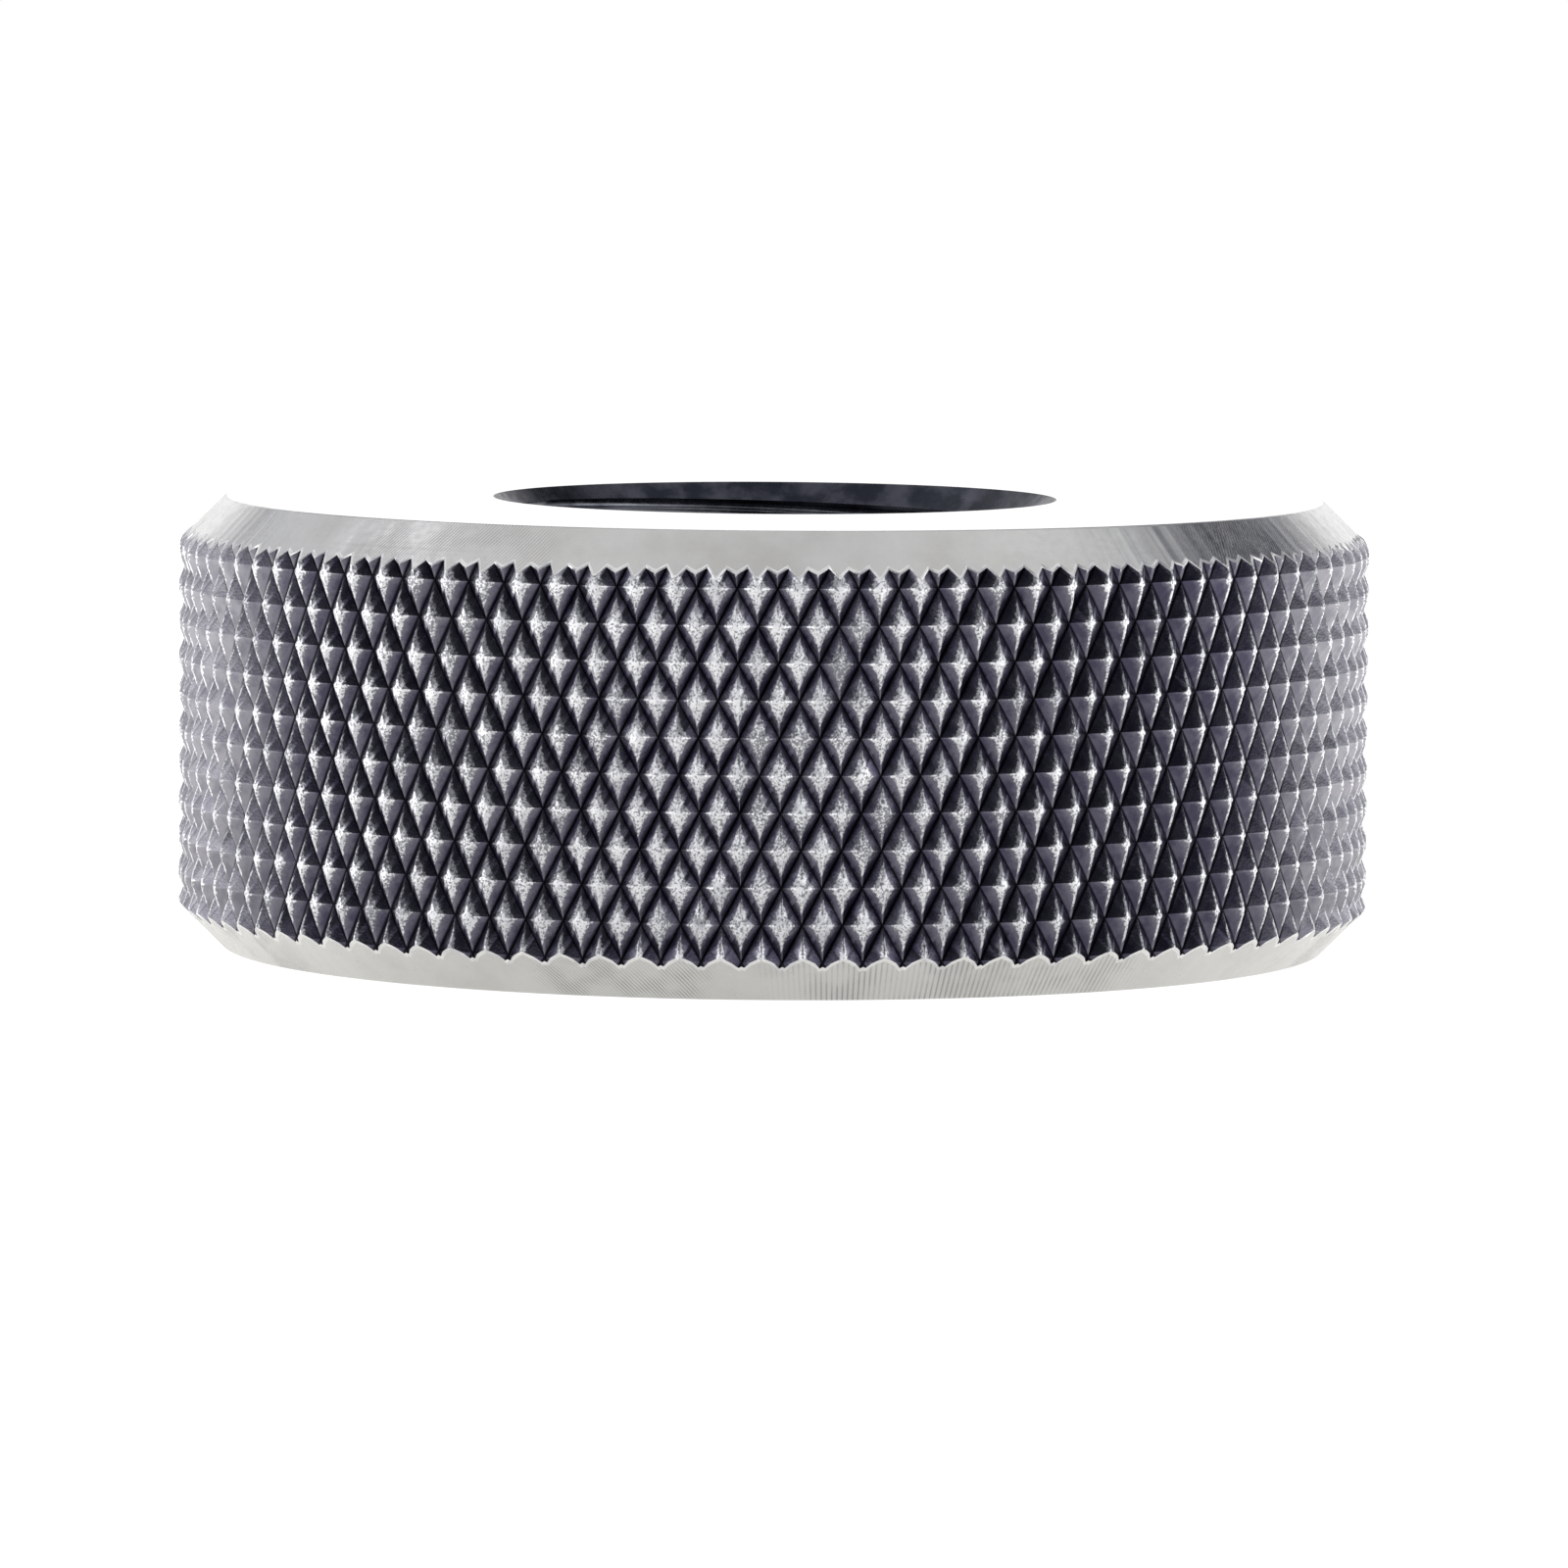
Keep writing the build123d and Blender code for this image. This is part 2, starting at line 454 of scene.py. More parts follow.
FINISHES = {
    # Hardened steel, cut by a knurling tool: pale pitted crests and flanks in blue-black painted shade give it its
    # sparkle.
    Finish.KNURL: KnurledSteel(
        name="knurled_steel",
        bare="#f1f2f6",
        dull="#cfd0d6",
        marked="#74767e",
        roughness=0.34,
        dull_mm=2.0,
        dull_share=(0.45, 0.75),
        grain_mm=0.10,
        grain_height_mm=0.010,
    ),
    # Turned chamfers: satin bands with the fine slanted marks of a tool that chattered.
    Finish.CHAMFER: GaugeSteel(
        name="turned_steel",
        bare="#dadad9",
        dull="#cbcac8",
        marked="#98989a",
        roughness=0.22,
        dull_mm=4.0,
        dull_share=(0.4, 0.8),
        grain_mm=0.12,
        grain_height_mm=0.002,
        rings=Relief(spacing_mm=0.20, height_mm=0.004),
        chatter=(
            Chatter(marks=940, lean=28.0, middle=-33.0, width=26.0, upper=True),
            Chatter(marks=900, lean=30.0, middle=-14.5, width=19.0, upper=False, stain=0.9, height_mm=0.006),
            Chatter(marks=690, lean=4.0, middle=19.0, width=40.0, upper=False, stain=0.7),
        ),
    ),
    # Lapped faces: almost a mirror, dulled by the lapping grit.
    Finish.LAPPED: GaugeSteel(
        name="lapped_steel",
        bare="#f0efec",
        dull="#e8e7e3",
        marked="#c9c8c4",
        roughness=0.12,
        dull_mm=6.0,
        dull_share=(0.4, 0.8),
        grain_mm=0.15,
        grain_height_mm=0.0015,
        rings=Relief(spacing_mm=0.3, height_mm=0.002),
    ),
    # Ground thread flanks, bright under a film of oil; all their colours are darkened as painted shade of the bore.
    Finish.THREAD: GaugeSteel(
        name="threaded_steel",
        bare="#7e8088",
        dull="#3b3d46",
        marked="#2a2c33",
        roughness=0.25,
        dull_mm=3.0,
        dull_share=(0.35, 0.65),
        grain_mm=0.15,
        grain_height_mm=0.003,
    ),
    # Turned countersinks, in blue-black colours that are painted shade of the bore.
    Finish.COUNTERSINK: GaugeSteel(
        name="bore_shade_steel",
        bare="#4c4d57",
        dull="#2a2d37",
        marked="#22242b",
        roughness=0.3,
        dull_mm=1.6,
        dull_share=(0.35, 0.6),
        grain_mm=0.15,
        grain_height_mm=0.004,
        rings=Relief(spacing_mm=0.2, height_mm=0.004),
    ),
    # The burr that the knurl pushed up along its ends: bare metal, polished bright by handling.
    Finish.BURR: GaugeSteel(
        name="burnished_steel",
        bare="#f6f6f6",
        dull="#dcdde0",
        marked="#c4c5c8",
        roughness=0.4,
        dull_mm=1.0,
        dull_share=(0.45, 0.7),
        grain_mm=0.12,
        grain_height_mm=0.006,
    ),
}


@dataclass
class Rolled:
    """Common work on a sheet in unrolled space, where x is the way round, y the height and z the radius."""

    pitch_radius: float  # mm, the radius at which the sheet's length fits once round

    def rolled(self, flat: Vector) -> Vector:
        """Where a place of the sheet goes, in mm, counted from the front and anticlockwise from above."""
        turn = flat.x / self.pitch_radius
        return Vector((flat.z * math.sin(turn), -flat.z * math.cos(turn), flat.y))

    def roll(self, sheet: Shape) -> None:
        """Rolls the sheet up round the Z axis and turns its millimetres into metres."""
        for vert in sheet.verts:
            vert.co = self.rolled(vert.co) * MM

    @staticmethod
    def cut(
        sheet: Shape, point: tuple[float, float, float], normal: tuple[float, float, float], clear: bool
    ) -> list[bmesh.types.BMEdge]:
        """Cuts the sheet by a plane.

        Args:
            sheet: the sheet in unrolled space.
            point: a point of the plane.
            normal: the plane's normal.
            clear: whether what lies beyond the plane is removed.

        Returns:
            The edges along the cut.
        """
        geometry = sheet.verts[:] + sheet.edges[:] + sheet.faces[:]
        made = bmesh.ops.bisect_plane(
            sheet, geom=geometry, dist=1e-5, plane_co=point, plane_no=normal, clear_outer=clear
        )
        return [item for item in made["geom_cut"] if isinstance(item, bmesh.types.BMEdge)]

    @staticmethod
    def extrude(
        sheet: Shape, edges: list[bmesh.types.BMEdge], finish: Finish
    ) -> tuple[list[bmesh.types.BMVert], list[bmesh.types.BMEdge]]:
        """Extrudes edges on the spot, so that their new corners can be moved.

        Args:
            sheet: the sheet in unrolled space.
            edges: the edges to extrude.
            finish: the finish of the new faces.

        Returns:
            The new corners and the new edges.
        """
        made = bmesh.ops.extrude_edge_only(sheet, edges=edges)["geom"]
        for item in made:
            if isinstance(item, bmesh.types.BMFace):
                item.material_index = finish.value
        corners = [item for item in made if isinstance(item, bmesh.types.BMVert)]
        return corners, [item for item in made if isinstance(item, bmesh.types.BMEdge)]


@dataclass
class KnurledOutside(Rolled):
    """The outside of the ring: the diamond knurl between its two chamfers, in millimetres.

    A place on a tooth is given as two shares of the way from groove to groove: a across the shallower set of
    grooves and b across the deeper one.
    """

    outer_radius: float
    thickness: float
    chamfer: float
    face_break: float = 0.07  # of the worn edge between a chamfer and its face
    face_edge: tuple[tuple[float, float], ...] = ((1.0, 1.0), (0.4, 0.2), (0.1, -0.55), (0.0, -1.4))  # shares of it

    teeth: int = 95
    row_height: float = 1.5875  # from one row of teeth to the next
    middle_row: float = 9.695  # height of row 0
    rows_each_way: int = 6
    first_turn: float = 0.298  # how far round row 0 has a tooth, in mm
    twist: float = -0.0185  # how far a tooth shifts round per mm of height
    deep_groove: float = 0.48
    shallow_groove: float = 0.43
    shoulder: float = 0.335  # where the flank ends and the rounded shoulder starts, as a share
    crest: float = 0.385  # where the crest starts, as a share
    shoulder_drop: float = 0.016  # of the shoulder's outer edge below the crest
    hollow: float = 0.045  # how far the middle of a flank cuts into the crest, as a share
    ease: float = 0.045  # bevel along the ridges
    pinch: float = 3.0  # widths of that bevel round a groove crossing, within which it runs out
    flank_slope: float = 0.82  # upward part of a face's normal, below which it is a flank
    flat_angle: float = 0.8  # degrees between faces that count as one
    pattern: str = "tooth"  # UV map that counts from 0 to 1 from groove to groove

    sharp_shoulder: float = 0.40  # the shoulder's share on teeth that have seen less wear
    sharp_crest: float = 0.44  # and the crest's
    worn_turn: float = -14.0  # degrees round from the front to where the teeth are most worn
    worn_way: float = 0.955  # cosine of the way off that line, or its opposite, up to which teeth are worn flat
    sharp_way: float = 0.62  # and from which they are sharp
    sharp_below: float = 2.6  # height under which every tooth gets sharper
    sharp_most: float = 0.8  # how sharp it gets there
    sharpening: str = "sharpening"  # layer that holds the way from a worn tooth to a sharp one
    sharpness: str = "sharpness"  # layer that tells how sharp a tooth is

    uneven: tuple[tuple[float, float], ...] = ((2.2, 0.018), (0.5, 0.012))  # noise per mm and depth of dents
    torn_noise: float = 0.9  # per mm, of the spots where a tooth is torn
    torn_shift: tuple[float, float, float] = (40.0, 3.0, 7.0)  # keeps them apart from the dents
    torn_level: float = 0.42  # of the noise, above which a tooth is torn
    torn_depth: float = 0.35

    burr: tuple[tuple[float, float], ...] = ((0.08, 0.06), (0.16, 0.0))  # way up the chamfer, height off it
    burr_share: float = 0.55  # of that height, on average
    burr_uneven: float = 1.7  # how much the share changes along the burr
    burr_noise: float = 1.7  # per mm

    @property
    def tooth_width(self) -> float:
        """Width of a tooth round the ring."""
        return math.tau * self.outer_radius / self.teeth

    def shares(self, place: Vector) -> tuple[float, float]:
        """The shares a and b of a place of the tooth at the origin."""
        x, y = place.x / self.tooth_width * 2, place.y / self.row_height
        return (y + 1 + x) / 2, (y + 1 - x) / 2

    def place(self, a: float, b: float, radius: float) -> Vector:
        """The place of the shares a and b on the tooth at the origin, at a distance from the axis."""
        return Vector(((a - b) * (self.tooth_width / 2), (a + b - 1) * self.row_height, radius))

    def depth(self, a: float, b: float) -> float:
        """Works out how far below the crest a place on a tooth lies.

        Args:
            a: its share of the way across the shallower grooves.
            b: its share of the way across the deeper grooves.

        Returns:
            The depth in millimetres.
        """
        depths = []
        for share, groove in ((b, self.deep_groove), (a, self.shallow_groove)):
            gap = min(share, 1 - share)
            down_flank = max(0.0, 1 - gap / self.shoulder)
            down_shoulder = min(1.0, max(0.0, (self.crest - gap) / (self.crest - self.shoulder)))
            depths.append(self.shoulder_drop * down_shoulder + (groove - self.shoulder_drop) * down_flank)
        return max(depths)

    def sharper(self, share: float) -> float:
        """Moves a share so that a worn tooth turns into a sharp one.

        Args:
            share: the share of the way between two grooves on a worn tooth.

        Returns:
            The share that the same place has on a sharp tooth.
        """
        gap = min(share, 1 - share)
        worn = (0.0, self.shoulder, self.crest, 0.5)
        sharp = (0.0, self.sharp_shoulder, self.sharp_crest, 0.5)
        for (low, high), (new_low, new_high) in zip(zip(worn, worn[1:]), zip(sharp, sharp[1:])):
            if gap <= high + 1e-9:
                gap = new_low + (gap - low) / (high - low) * (new_high - new_low)
                break
        return gap if share < 0.5 else 1 - gap

    def grid(self, tile: Shape) -> tuple[list[list[bmesh.types.BMVert]], dict]:
        """Lays out the faces of a worn tooth, with its flanks hollowed but its ridges not yet eased.

        Args:
            tile: an empty shape that takes the faces.

        Returns:
            The four lines of corners that start where two grooves cross, each three corners long, and the shares
            that hollowed corners have without the hollow.
        """
        half_way = (0.0, self.shoulder, self.crest)
        stations = (*half_way, 0.5, *(1 - share for share in reversed(half_way)))
        count = len(stations) - 1
        middle = count // 2
        bmesh.ops.create_grid(tile, x_segments=count, y_segments=count, size=count / 2)
        corners, homes = {}, {}
        for vert in tile.verts:
            i, j = (round(vert.co[axis] + count / 2) for axis in (0, 1))
            corners[i, j] = vert
            depth = self.depth(stations[i], stations[j])
            pull = [0.0, 0.0]
            for axis, (own, other) in enumerate(((i, j), (j, i))):
                if other == middle and own in (1, 2, count - 1, count - 2):
                    pull[axis] = math.copysign(self.hollow, middle - own)
            if any(pull):
                homes[vert] = stations[i], stations[j]
            vert.co = self.place(stations[i] + pull[0], stations[j] + pull[1], self.outer_radius - depth)
        starts = ((0, 0), (count, 0), (0, count), (count, count))
        lines = [
            [corners[i + step * (-1 if i else 1), j + step * (-1 if j else 1)] for step in range(3)]
            for i, j in starts
        ]
        return lines, homes

    def ease_ridges(self, tile: Shape, lines: list[list[bmesh.types.BMVert]]) -> None:
        """Bevels the tooth's four ridges, and marks which of its edges are drawn sharp.

        Args:
            tile: the tooth in unrolled space.
            lines: the corners along each ridge, from where two grooves cross.
        """
        tips = [line[0].co.copy() for line in lines]
        ridges = []
        for start, shoulder, crest in lines:
            ridges += bmesh.ops.connect_vert_pair(tile, verts=[start, shoulder])["edges"][:1]
            bmesh.ops.connect_vert_pair(tile, verts=[shoulder, crest])
        eased = bmesh.ops.bevel(
            tile, geom=ridges, offset=self.ease, offset_type="OFFSET", segments=1, profile=0.5, affect="EDGES"
        )["faces"]
        on_ridge = len(Finish)  # marks a face until the edges are sorted
        for face in eased:
            face.material_index = on_ridge
        for vert in tile.verts:
            vert.co = next((tip for tip in tips if (tip - vert.co).length < self.pinch * self.ease), vert.co)
        bmesh.ops.remove_doubles(tile, verts=tile.verts[:], dist=1e-5)
        tile.normal_update()
        for edge in tile.edges:
            edge.smooth = False
            if len(edge.link_faces) == 2:
                first, second = (face.material_index == on_ridge for face in edge.link_faces)
                low, high = sorted(face.normal.z for face in edge.link_faces)
                edge.smooth = first == second and not low < self.flank_slope < high

    def tooth(self) -> Shape:
        """Makes one worn tooth in unrolled space, with its centre at the origin.

        Returns:
            The tooth, with its UV map and the layer that holds the way to a sharp tooth.
        """
        tile = bmesh.new()
        lines, homes = self.grid(tile)
        self.ease_ridges(tile, lines)
        for face in tile.faces:
            face.material_index = Finish.KNURL.value
        flat = math.radians(self.flat_angle)
        bmesh.ops.dissolve_limit(
            tile, angle_limit=flat, verts=tile.verts[:], edges=tile.edges[:], delimit={"SHARP"}
        )
        uv = tile.loops.layers.uv.new(self.pattern)
        for face in tile.faces:
            for loop in face.loops:
                loop[uv].uv = self.shares(loop.vert.co)
        sharpen = tile.verts.layers.float_vector.new(self.sharpening)
        for vert in tile.verts:
            a, b = (self.sharper(share) for share in homes.get(vert, self.shares(vert.co)))
            vert[sharpen] = self.place(a, b, vert.co.z) - vert.co
        return tile

    def sheet(self) -> Shape:
        """Sets all the teeth side by side, past both ends of the knurl.

        Returns:
            The sheet in unrolled space.
        """
        sheet = self.tooth()
        tile = sheet.verts[:] + sheet.edges[:] + sheet.faces[:]
        row = list(tile)
        for number in range(1, self.teeth):
            copy = bmesh.ops.duplicate(sheet, geom=tile)["geom"]
            verts = [item for item in copy if isinstance(item, bmesh.types.BMVert)]
            bmesh.ops.translate(sheet, verts=verts, vec=(number * self.tooth_width, 0, 0))
            row += copy
        for number in range(-self.rows_each_way, self.rows_each_way + 1):
            if number == 0:
                continue
            copy = bmesh.ops.duplicate(sheet, geom=row)["geom"]
            verts = [item for item in copy if isinstance(item, bmesh.types.BMVert)]
            shift = self.tooth_width / 2 * (number % 2)
            bmesh.ops.translate(sheet, verts=verts, vec=(shift, number * self.row_height, 0))
        bmesh.ops.remove_doubles(sheet, verts=sheet.verts[:], dist=1e-4)
        for vert in sheet.verts:
            vert.co.x += self.first_turn + self.twist * vert.co.y
            vert.co.y += self.middle_row
        return sheet

    def wear(self, sheet: Shape) -> None:
        """Sharpens the teeth away from the worn part, and dents and tears them slightly.

        Args:
            sheet: the sheet in unrolled space.
        """
        turn = math.radians(self.worn_turn)
        worn = Vector((math.sin(turn), -math.cos(turn), 0.0))
        shown = sheet.verts.layers.float.new(self.sharpness)
        sharpen = sheet.verts.layers.float_vector[self.sharpening]
        for vert in sheet.verts:
            place = self.rolled(vert.co)
            facing = abs(place.dot(worn)) / vert.co.z
            sharpness = min(1.0, max(0.0, (self.worn_way - facing) / (self.worn_way - self.sharp_way)))
            sharpness = max(sharpness, min(self.sharp_most, max(0.0, self.sharp_below - vert.co.y)))
            vert.co += vert[sharpen] * sharpness
            vert[shown] = sharpness
            rough = sum(noise.noise(place * per_mm) * depth for per_mm, depth in self.uneven)
            torn = noise.noise(place * self.torn_noise + Vector(self.torn_shift)) - self.torn_level
            dent = abs(rough) + max(0.0, torn) * self.torn_depth
            vert.co.z = min(self.outer_radius, vert.co.z - dent)

    def finish_end(self, sheet: Shape, upward: int) -> None:
        """Cuts one chamfer and carries its surface to the ring's face.

        Args:
            sheet: the sheet in unrolled space.
            upward: 1 at the top and -1 at the bottom.
        """
        face = self.thickness if upward > 0 else 0.0
        face_radius = self.outer_radius - self.chamfer
        edges = self.cut(sheet, (0, face, face_radius), (0, upward, 1), clear=True)
        for edge in edges:
            edge.smooth = False
        reach, height = 0.0, 0.0
        for next_reach, next_height in self.burr:
            corners, lines = self.extrude(sheet, edges, Finish.BURR)
            for vert in corners:
                level = noise.noise(self.rolled(vert.co) * self.burr_noise)
                rise = max(0.0, self.burr_share + level * self.burr_uneven)
                vert.co.y += upward * (next_reach - reach)
                vert.co.z += reach - next_reach + (next_height - height) * rise
                vert.co.z = min(self.outer_radius, vert.co.z)
            edges = [line for line in lines if len(line.link_faces) == 1]
            reach, height = next_reach, next_height
        for drop, outset in self.face_edge:
            height = face - upward * drop * self.face_break
            corners, lines = self.extrude(sheet, edges, Finish.CHAMFER)
            for vert in corners:
                vert.co.y, vert.co.z = height, face_radius + outset * self.face_break
            edges = [line for line in lines if all(abs(vert.co.y - height) < 1e-6 for vert in line.verts)]

    def build(self) -> Shape:
        """Builds the outside and rolls it up.

        Returns:
            The outside in metres, open at both faces.
        """
        sheet = self.sheet()
        self.wear(sheet)
        for upward in (1, -1):
            self.finish_end(sheet, upward)
        self.roll(sheet)
        bmesh.ops.remove_doubles(sheet, verts=sheet.verts[:], dist=2e-7)
        return sheet


@dataclass
class ThreadedBore(Rolled):
    """The bore: a right-hand 60 degree thread with a countersink at each face, in millimetres."""

    thickness: float
    thread_pitch: float = 3.0
    thread_radius: float = THREAD_RADIUS_MM
    flank_angle: float = 30.0  # degrees between a flank and a plane across the axis
    ease: float = 0.07  # of the corners of the thread
    mouth_radius: float = 12.55
    columns: int = 120
    start_turn: float = 0.28  # of a pitch by which the thread is raised at the front
    turns_below: int = 2  # whole turns that start under the ring
    turns_past: int = 4  # turns more than fit in the ring, cut off at its faces

    @property
    def minor_radius(self) -> float:
        """Radius at the thread's crests, which are flattened as ISO metric threads are."""
        return self.thread_radius - 5 / 8 * self.thread_pitch * math.cos(math.radians(self.flank_angle))

    def profile(self) -> list[tuple[float, float]]:
        """Draws one pitch of the thread, with eased corners.

        Returns:
            Its points in order, each a height and a radius.
        """
        rise = math.tan(math.radians(self.flank_angle))
        flank = (self.thread_radius - self.minor_radius) * rise
        crest = (self.thread_pitch - 2 * flank) * 2 / 3
        ease, slope = self.ease, self.ease * rise
        lower = crest / 2
        upper = crest / 2 + flank
        return [
            (-lower + ease, self.minor_radius),
            (lower - ease, self.minor_radius),
            (lower + slope, self.minor_radius + ease),
            (upper - slope, self.thread_radius - ease),
            (upper + ease, self.thread_radius),
            (self.thread_pitch - upper - ease, self.thread_radius),
            (self.thread_pitch - upper + slope, self.thread_radius - ease),
            (self.thread_pitch - lower - slope, self.minor_radius + ease),
        ]

    def build(self) -> Shape:
        """Builds the bore and rolls it up.

        Returns:
            The bore in metres, open at both faces.
        """
        sheet = bmesh.new()
        turns = int(self.thickness / self.thread_pitch) + self.turns_past
        points = [
            (0, height + (turn + self.start_turn - self.turns_below) * self.thread_pitch, radius)
            for turn in range(turns)
            for height, radius in self.profile()
        ]
        line = [sheet.verts.new(point) for point in points]
        edges = [sheet.edges.new(pair) for pair in zip(line, line[1:])]
        length = math.tau * self.pitch_radius
        bmesh.ops.spin(
            sheet,
            geom=line + edges,
            cent=(0, 0, 0),
            axis=(0, 0, 1),
            dvec=(length / self.columns, self.thread_pitch / self.columns, 0),
            angle=0,
            steps=self.columns,
            use_duplicate=False,
        )
        for face in sheet.faces:
            face.material_index = Finish.THREAD.value
        for upward, face_height in ((1, self.thickness), (-1, 0.0)):
            self.cut(sheet, (0, face_height, 0), (0, upward, 0), clear=True)
            self.cut(sheet, (0, face_height, self.mouth_radius), (0, upward, -1), clear=False)
        for vert in sheet.verts:
            depth = min(vert.co.y, self.thickness - vert.co.y)
            vert.co.z = max(vert.co.z, self.mouth_radius - depth)
        for face in sheet.faces:
            middle = face.calc_center_median()
            depth = min(middle.y, self.thickness - middle.y)
            if middle.z < self.mouth_radius - depth + 1e-4:
                face.material_index = Finish.COUNTERSINK.value
        self.roll(sheet)
        bmesh.ops.remove_doubles(sheet, verts=sheet.verts[:], dist=2e-6)
        return sheet


@dataclass
class GaugeRing:
    """The whole ring as one closed piece that stands for the CAD node."""

    outside: KnurledOutside
    bore: ThreadedBore
    node: str = "gauge_ring"
    material_slot: str = "gauge_steel"
    sharp_angle: float = 38.0  # degrees, above which an edge is drawn sharp

    def build(self) -> bpy.types.Object:
        """Builds the piece and gives it its finishes.

        Returns:
            The ring's object.
        """
        whole = bmesh.new()
        for part in (self.outside.build(), self.bore.build()):
            mesh = bpy.data.meshes.new("part")
            part.to_mesh(mesh)
            part.free()
            whole.from_mesh(mesh)
            bpy.data.meshes.remove(mesh)
        for height in (0.0, self.outside.thickness * MM):
            self.close_face(whole, height)
        bmesh.ops.recalc_face_normals(whole, faces=whole.faces[:])
        self.shade(whole)
        open_edges = sum(not edge.is_manifold for edge in whole.edges)
        LOG.info("gauge ring: %d faces, %d open edges", len(whole.faces), open_edges)
        ring = to_object("knurled_ring", whole)
        for finish in Finish:
            ring.data.materials.append(FINISHES[finish].material())
        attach(ring, "root")
        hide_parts(self.node)
        return ring

    def shade(self, whole: Shape) -> None:
        """Draws the ring smooth but for its corners and the ends of each finish. The knurl has its own edges.

        Args:
            whole: the closed ring in metres.
        """
        for face in whole.faces:
            face.smooth = True
        limit = math.radians(self.sharp_angle)
        for edge in whole.edges:
            if len(edge.link_faces) == 2:
                first, second = (face.material_index for face in edge.link_faces)
                knurl = Finish.KNURL.value == first == second
                if first != second or (not knurl and edge.calc_face_angle(0.0) > limit):
                    edge.smooth = False

    @staticmethod
    def close_face(whole: Shape, height: float) -> None:
        """Fills a lapped face between its two rims.

        Args:
            whole: the ring in metres.
            height: the height of the face in metres.
        """
        rims = [
            edge
            for edge in whole.edges
            if edge.is_boundary and all(abs(vert.co.z - height) < 1e-6 for vert in edge.verts)
        ]
        for face in bmesh.ops.bridge_loops(whole, edges=rims)["faces"]:
            face.material_index = Finish.LAPPED.value


@dataclass(frozen=True)
class Lamp:
    """A soft lamp that faces the ring. It is in metres."""

    name: str
    place: tuple[float, float, float]
    size: tuple[float, float]
    level: float  # how bright it looks, where 1 is white


@dataclass
class Studio:
    """The plain set round the ring: a white floor and background, soft lamps and the camera.

    Screens are given as their elevation in degrees and their colour. A level of 1 is white.
    """

    ring_radius: float  # m

    elevation: float = 4.561  # degrees, of the camera
    distance: float = 18.721  # in ring radii
    roll: float = 0.397  # degrees by which the camera leans over
    yaw: float = 0.057  # degrees by which it looks past the middle of the ring sideways
    pitch: float = -0.202  # and up
    aim_height: float = 0.00895  # m, by which it is raised
    lens: float = 255.15  # mm
    sensor: float = 36.0  # mm across

    world_levels: tuple[float, float] = (0.9, 1.0)  # of the light that falls on things, and of what is seen
    lamps: tuple[Lamp, ...] = (
        Lamp("lamp_left", (-0.9, -0.15, 0.12), (0.6, 0.4), 1.0),
        Lamp("lamp_right", (0.9, -0.15, 0.12), (0.6, 0.4), 0.7),
        Lamp("lamp_back", (0.0, 0.95, 0.16), (1.1, 0.3), 0.12),
        Lamp("lamp_upper_left", (-0.45, 0.50, 0.60), (0.45, 0.45), 0.65),
    )
    lamp_aim: float = 0.01  # m, height at which the lamps point

    floor_reach: float = 1.5  # m, from its middle to its edges
    board: str = "#f2f2f2"  # colour of the floor
    board_roughness: float = 0.9
    board_tint: str = "#fffefa"  # colour that the ring sees the floor glow in
    board_level: float = 1.2  # least glow of the floor for the camera
    board_share: tuple[float, float] = (0.2, 0.65)  # how much of the floor is glow: more for the camera, and least
    floor_fade: tuple[float, float] = (-0.027, -0.008)  # m, between which the floor brightens towards the back
    floor_levels: tuple[float, float] = (0.88, 1.2)  # how bright the ring sees the floor in front and at the back
    side_fade: tuple[float, float] = (0.022, 0.055)  # m, between which the floor brightens towards both sides
    side_levels: tuple[float, float] = (0.0, 0.9)  # how much brighter the ring sees it there

    hood_radius: float = 1.2  # m, of the screens over the ring
    hood_steps: tuple[int, int] = (10, 48)  # up the hood and round it
    hood_fade: tuple[float, float] = (-0.80, -0.58)  # between which the front screens give way to those behind
    back_screens: tuple[tuple[float, str], ...] = (
        (15.0, "#ffffff"),
        (21.0, "#e8e8ea"),
        (27.0, "#8d8f98"),
        (31.0, "#4a4c54"),
        (40.0, "#42444b"),
        (45.0, "#9a9ca3"),
        (51.0, "#d2d3d5"),
        (60.0, "#e9e9e9"),
        (90.0, "#d6d6d7"),
    )
    front_screens: tuple[tuple[float, str], ...] = (
        (8.0, "#ffffff"),
        (15.0, "#a6a8af"),
        (21.0, "#1d1f26"),
        (45.0, "#1a1c22"),
        (51.0, "#85878f"),
        (58.0, "#dcdcdd"),
        (90.0, "#d6d6d7"),
    )

    def camera(self) -> None:
        """Sets up the camera."""
        data = bpy.data.cameras.new("camera")
        data.lens, data.sensor_width = self.lens, self.sensor
        data.clip_start, data.clip_end = 0.01, 10.0
        tilt, yaw, pitch, roll = (math.radians(a) for a in (self.elevation, self.yaw, self.pitch, self.roll))
        reach = self.distance * self.ring_radius
        place = Vector((0, -reach * math.cos(tilt), reach * math.sin(tilt)))
        ahead, right = -place.normalized(), Vector((1, 0, 0))
        up = right.cross(ahead)
        ahead, right = self.turned(ahead, right, yaw)
        ahead, up = self.turned(ahead, up, pitch)
        right, up = self.turned(right, up, roll)
        turn = Matrix((right, up, -ahead)).transposed().to_4x4()
        camera = bpy.data.objects.new("camera", data)
        camera.matrix_world = Matrix.Translation(place + Vector((0, 0, self.aim_height))) @ turn
        bpy.context.scene.collection.objects.link(camera)
        bpy.context.scene.camera = camera

    @staticmethod
    def turned(first: Vector, second: Vector, angle: float) -> tuple[Vector, Vector]:
        """Two directions at right angles, turned by an angle so that the first moves towards the second."""
        cos, sin = math.cos(angle), math.sin(angle)
        return first * cos + second * sin, second * cos - first * sin

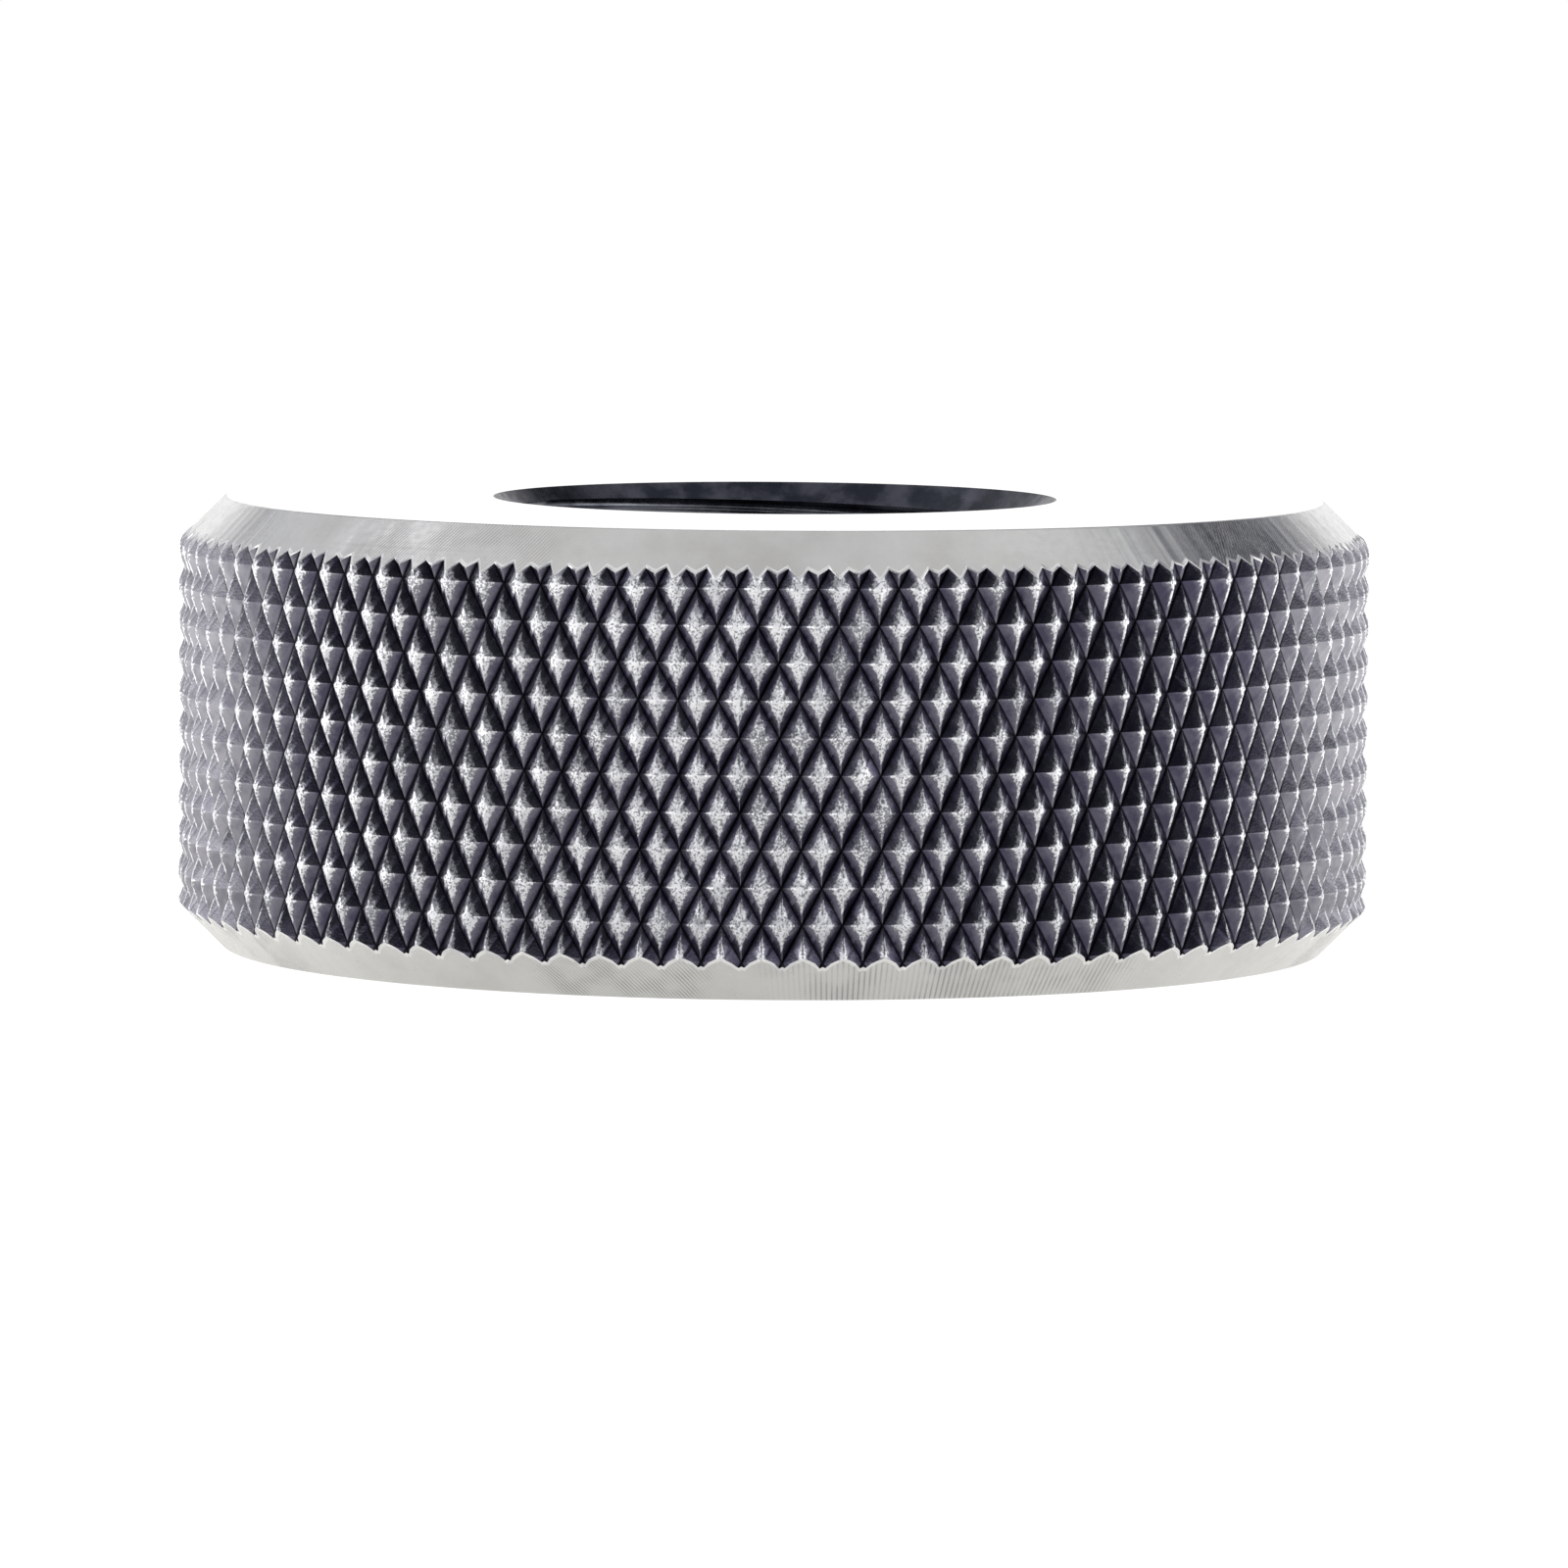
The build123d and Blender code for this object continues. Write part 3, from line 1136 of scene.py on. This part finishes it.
    def world(self) -> None:
        """Surrounds the ring with white for the camera and in reflections, and with a pale even light elsewhere."""
        world = bpy.data.worlds.new("studio")
        world.use_nodes = True
        tree = world.node_tree
        tree.nodes.clear()
        path = add_node(tree, "LightPath").node.outputs
        seen = add_node(tree, "Math", path["Is Camera Ray"], path["Is Glossy Ray"], operation="MAXIMUM")
        seen = add_node(tree, "Math", seen, path["Is Transmission Ray"], operation="MAXIMUM")
        strength = add_node(tree, "MapRange", seen, 0.0, 1.0, *self.world_levels)
        background = add_node(tree, "Background", linear("#ffffff"), strength)
        add_node(tree, "OutputWorld", background)
        bpy.context.scene.world = world

    def hang(self, lamp: Lamp) -> None:
        """Adds a lamp and turns it to the ring.

        Args:
            lamp: the lamp.
        """
        data = bpy.data.lights.new(lamp.name, "AREA")
        data.shape, (data.size, data.size_y) = "RECTANGLE", lamp.size
        data.energy = lamp.level * math.pi * lamp.size[0] * lamp.size[1]
        light = bpy.data.objects.new(lamp.name, data)
        light.location = lamp.place
        light.rotation_mode = "QUATERNION"
        towards = Vector((0, 0, self.lamp_aim)) - Vector(lamp.place)
        light.rotation_quaternion = towards.to_track_quat("-Z", "Y")
        light.visible_camera = False
        bpy.context.scene.collection.objects.link(light)

    def hood(self) -> None:
        """Hangs a dome over the ring that shows only in its reflections, as flags and screens do in a studio."""
        dome = bmesh.new()
        low = math.radians(self.front_screens[0][0])
        steps, columns = self.hood_steps
        angles = [low + (math.pi / 2 - low) * step / steps for step in range(steps + 1)]
        line = [dome.verts.new((self.hood_radius * math.cos(a), 0, self.hood_radius * math.sin(a))) for a in angles]
        edges = [dome.edges.new(pair) for pair in zip(line, line[1:])]
        bmesh.ops.spin(
            dome, geom=line + edges, cent=(0, 0, 0), axis=(0, 0, 1), angle=math.tau, steps=columns, use_merge=True
        )
        bmesh.ops.remove_doubles(dome, verts=dome.verts[:], dist=1e-5)
        hood = to_object("hood", dome)
        hood.data.materials.append(self.screens())
        hood.visible_camera = hood.visible_diffuse = hood.visible_shadow = hood.visible_transmission = False

    def screens(self) -> bpy.types.Material:
        """Makes the glow of the hood, which changes with the elevation and from front to back.

        Returns:
            The finished node material.
        """
        material = bare_material("studio_screens")
        tree = material.node_tree
        place = add_node(tree, "TexCoord").node.outputs["Object"]
        direction = add_node(tree, "VectorMath", place, operation="NORMALIZE")
        _, depth, height = add_node(tree, "SeparateXYZ", direction).node.outputs
        angle = add_node(tree, "Math", height, operation="ARCSINE")
        share = add_node(tree, "Math", angle, math.pi / 2, operation="DIVIDE")
        ramps = []
        for screens in (self.front_screens, self.back_screens):
            ramps.append(add_node(tree, "ValToRGB", share))
            elements = ramps[-1].node.color_ramp.elements
            while len(elements) < len(screens):
                elements.new(1.0)
            for element, (elevation, colour) in zip(elements, screens):
                element.position, element.color = elevation / 90, linear(colour)
        behind = add_node(tree, "MapRange", depth, *self.hood_fade, 0.0, 1.0, **SMOOTH)
        colour = add_node(tree, "Mix", behind, *ramps, **COLOURS)
        glow = add_node(tree, "Emission", colour, 1.0)
        add_node(tree, "OutputMaterial", glow)
        return material

    def floor(self) -> None:
        """Lays a white floor that keeps the ring's shadow."""
        sheet = bmesh.new()
        bmesh.ops.create_grid(sheet, x_segments=1, y_segments=1, size=self.floor_reach)
        floor = to_object("floor", sheet)
        floor.data.materials.append(self.white_board())

    def white_board(self) -> bpy.types.Material:
        """Makes the floor's white board, part of which glows so that it stays white in front of the camera. For the
        ring's reflections the glow is painted light, brighter towards the back and both sides.

        Returns:
            The finished node material.
        """
        material = bare_material("white_board")
        tree = material.node_tree
        path = add_node(tree, "LightPath").node.outputs
        by_camera = path["Is Camera Ray"]
        surface = {"Base Color": linear(self.board), "Roughness": self.board_roughness}
        board = add_node(tree, "BsdfPrincipled", inputs=surface)
        place = add_node(tree, "TexCoord").node.outputs["Object"]
        width, depth, _ = add_node(tree, "SeparateXYZ", place).node.outputs
        # Painted light: the glow that the ring sees brightens towards the back and both sides.
        level = add_node(tree, "MapRange", depth, *self.floor_fade, *self.floor_levels, **SMOOTH)
        width = add_node(tree, "Math", width, operation="ABSOLUTE")
        sides = add_node(tree, "MapRange", width, *self.side_fade, *self.side_levels, **SMOOTH)
        level = add_node(tree, "Math", level, sides, operation="ADD")
        least = add_node(tree, "Math", by_camera, self.board_level, operation="MULTIPLY")
        level = add_node(tree, "Math", level, least, operation="MAXIMUM")
        colour = add_node(tree, "Mix", by_camera, linear(self.board_tint), linear("#ffffff"), **COLOURS)
        white = add_node(tree, "Emission", colour, level)
        seen = add_node(tree, "Math", by_camera, path["Is Glossy Ray"], operation="MAXIMUM")
        share = add_node(tree, "Math", by_camera, *self.board_share, operation="MULTIPLY_ADD")
        share = add_node(tree, "Math", seen, share, operation="MULTIPLY")
        both = add_node(tree, "MixShader", share, board, white)
        add_node(tree, "OutputMaterial", both)
        return material

    def build(self) -> None:
        """Sets up the whole set."""
        self.camera()
        self.world()
        self.floor()
        self.hood()
        for lamp in self.lamps:
            self.hang(lamp)


def main() -> None:
    """Builds the ring and its set in order."""
    logging.basicConfig(level=logging.INFO, format="%(name)s: %(message)s")
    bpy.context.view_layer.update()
    scene = bpy.context.scene
    scene.view_settings.view_transform = "Standard"
    low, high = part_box("gauge_ring")
    radius, thickness = (high.x - low.x) / 2 / MM, (high.z - low.z) / MM
    outside = KnurledOutside(pitch_radius=radius, outer_radius=radius, thickness=thickness, chamfer=CHAMFER_MM)
    bore = ThreadedBore(pitch_radius=THREAD_RADIUS_MM, thickness=thickness)
    ring = GaugeRing(outside, bore).build()
    LOG.info("piece %s", ring.name)
    Studio(ring_radius=radius * MM).build()
    LOG.info("studio ready")


if __name__ == "__main__":
    main()
